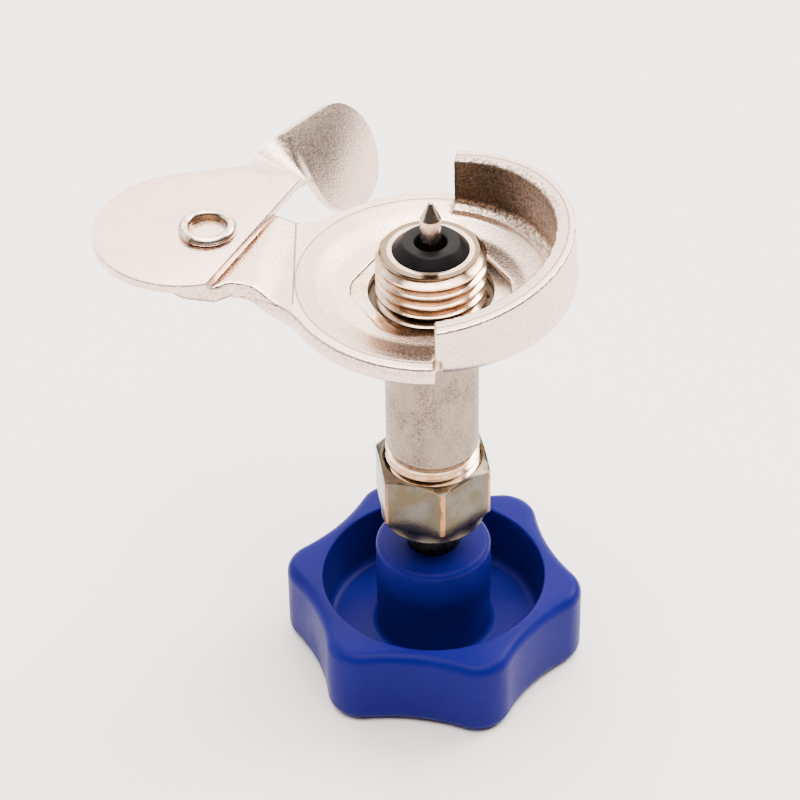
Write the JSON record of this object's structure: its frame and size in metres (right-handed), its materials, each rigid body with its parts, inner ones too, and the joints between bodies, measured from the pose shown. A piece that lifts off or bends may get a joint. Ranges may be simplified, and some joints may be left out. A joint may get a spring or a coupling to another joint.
{
  "type": "can piercing tap",
  "caption": "Hand tap that screws onto a service can, pierces it with a needle and lets the contents out through a side outlet, with a lever that locks the can's rim.",
  "frame": {"origin": "on the spindle's axis, at the flat outer face of the hand knob", "axes": "+Z along the spindle towards the needle's tip, -X towards the bracket's tongue and lever, the side outlet points to +Y"},
  "size_m": [0.0618, 0.0534, 0.0724],
  "materials": {
    "blue_plastic": "moulded, moderately glossy",
    "dark_steel": "turned, darkened",
    "needle_steel": "ground and polished",
    "yellow_zinc": "yellow zinc plated",
    "gland_brass": "turned",
    "packing_ring": "pressed ring",
    "body_nickel": "satin nickel plated",
    "fitting_nickel": "bright nickel plated",
    "seal_rubber": "moulded",
    "bracket_nickel": "satin nickel plated",
    "rivet_nickel": "nickel plated",
    "washer_steel": "plain",
    "lever_nickel": "satin nickel plated"
  },
  "bodies": {
    "valve": {"valve_body": "body_nickel", "bracket_plate": "bracket_nickel", "packing_nut": "yellow_zinc", "gland_follower": "gland_brass", "stem_packing": "packing_ring", "packing_washer": "gland_brass", "outlet_fitting": "fitting_nickel", "can_seal": "seal_rubber", "lever_rivet": "rivet_nickel", "pivot_washer": "washer_steel"},
    "lever": {"lock_lever": "lever_nickel"},
    "needle": {"piercing_needle": "needle_steel"},
    "knob": {"handwheel": "blue_plastic", "spindle": "dark_steel"}
  },
  "joints": [
    {"name": "lever_swing", "type": "hinge", "parent": "valve", "child": "lever", "pos_m": [-0.02763, 0.00512, 0.064], "axis": [0, 0, 1], "range_deg": [-12, 245]},
    {"name": "needle_feed", "type": "slide", "parent": "valve", "child": "needle", "axis": [0, 0, 1], "range_m": [-0.0068, 0]},
    {"name": "knob_turn", "type": "hinge", "parent": "needle", "child": "knob", "pos_m": [0, 0, 0.01], "axis": [0, 0, 1], "range_deg": [-1958.5, 0]}
  ],
  "couplings": [
    {"joint": "knob_turn", "follows": "needle_feed", "rad_per_m": 5026.5}
  ]
}
